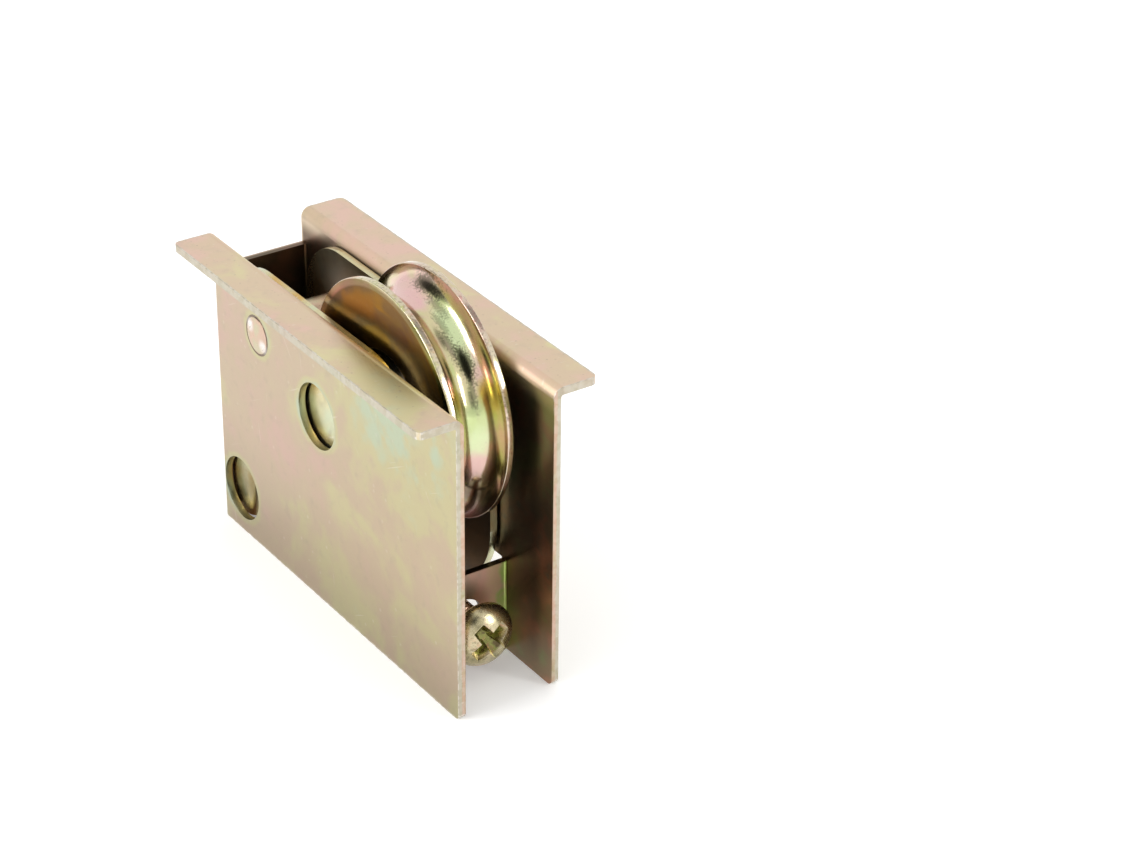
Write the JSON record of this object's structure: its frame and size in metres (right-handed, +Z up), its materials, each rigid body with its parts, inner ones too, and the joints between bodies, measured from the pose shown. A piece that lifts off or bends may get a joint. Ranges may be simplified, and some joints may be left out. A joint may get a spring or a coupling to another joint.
{
  "type": "sliding door roller",
  "caption": "Height-adjustable grooved roller for a sliding door: a flanged sheet housing, a tilting carrier, a ball-bearing wheel and a long adjusting screw.",
  "frame": {"origin": "middle of the housing's length and width, in the plane of its bottom edges", "axes": "+X along the housing to its open end with the screw head, +Y across it to the plate with the adjuster tab, +Z up towards the wheel"},
  "size_m": [0.0704, 0.03, 0.0585],
  "materials": {
    "plated_sheet": "yellow iridescent zinc plate, satin, worn edges",
    "plated_carrier": "yellow iridescent zinc plate, glossy",
    "plated_wheel": "yellow iridescent zinc plate, bright",
    "plated_rivet": "yellow iridescent zinc plate, staked ends",
    "plated_screw": "yellow iridescent zinc plate, olive",
    "bearing_steel": "ground steel",
    "ball_steel": "polished steel",
    "cage_steel": "pressed steel strip"
  },
  "bodies": {
    "frame": {"housing": "plated_sheet", "pivot_rivet": "plated_rivet"},
    "tilting_carrier": {"carrier": "plated_carrier", "wheel_axle": "plated_rivet", "axle_spacer_near": "bearing_steel", "axle_spacer_far": "bearing_steel", "bearing_inner_ring": "bearing_steel"},
    "wheel": {"wheel_half_near": "plated_wheel", "wheel_half_far": "plated_wheel", "bearing_outer_ring": "bearing_steel", "bearing_shield_near": "bearing_steel", "bearing_shield_far": "bearing_steel"},
    "ball_set": {"ball_1": "ball_steel", "ball_2": "ball_steel", "ball_3": "ball_steel", "ball_4": "ball_steel", "ball_5": "ball_steel", "ball_6": "ball_steel", "ball_7": "ball_steel", "ball_cage_near": "cage_steel", "ball_cage_far": "cage_steel"},
    "nut": {"screw_nut": "plated_screw"},
    "screw": {"adjusting_screw": "plated_screw"}
  },
  "joints": [
    {"name": "screw_turn", "type": "hinge", "parent": "frame", "child": "screw", "pos_m": [0.0271, 0, 0.0079], "axis": [1, 0, 0], "range_deg": [0, 1872]},
    {"name": "carrier_tilt", "type": "hinge", "parent": "frame", "child": "tilting_carrier", "pos_m": [-0.0213, 0, 0.0383], "axis": [0, -1, 0], "range_deg": [0, 8]},
    {"name": "nut_travel", "type": "slide", "parent": "frame", "child": "nut", "axis": [1, 0, 0], "range_m": [0, 0.00416]},
    {"name": "wheel_spin", "type": "hinge", "parent": "tilting_carrier", "child": "wheel", "pos_m": [0.0094, 0, 0.039], "axis": [0, 1, 0], "continuous": true},
    {"name": "ball_orbit", "type": "hinge", "parent": "tilting_carrier", "child": "ball_set", "pos_m": [0.0094, 0, 0.039], "axis": [0, 1, 0], "continuous": true}
  ],
  "couplings": [
    {"joint": "screw_turn", "follows": "carrier_tilt", "ratio": 234},
    {"joint": "nut_travel", "follows": "carrier_tilt", "m_per_rad": 0.029794},
    {"joint": "ball_orbit", "follows": "wheel_spin", "ratio": 0.65217}
  ]
}
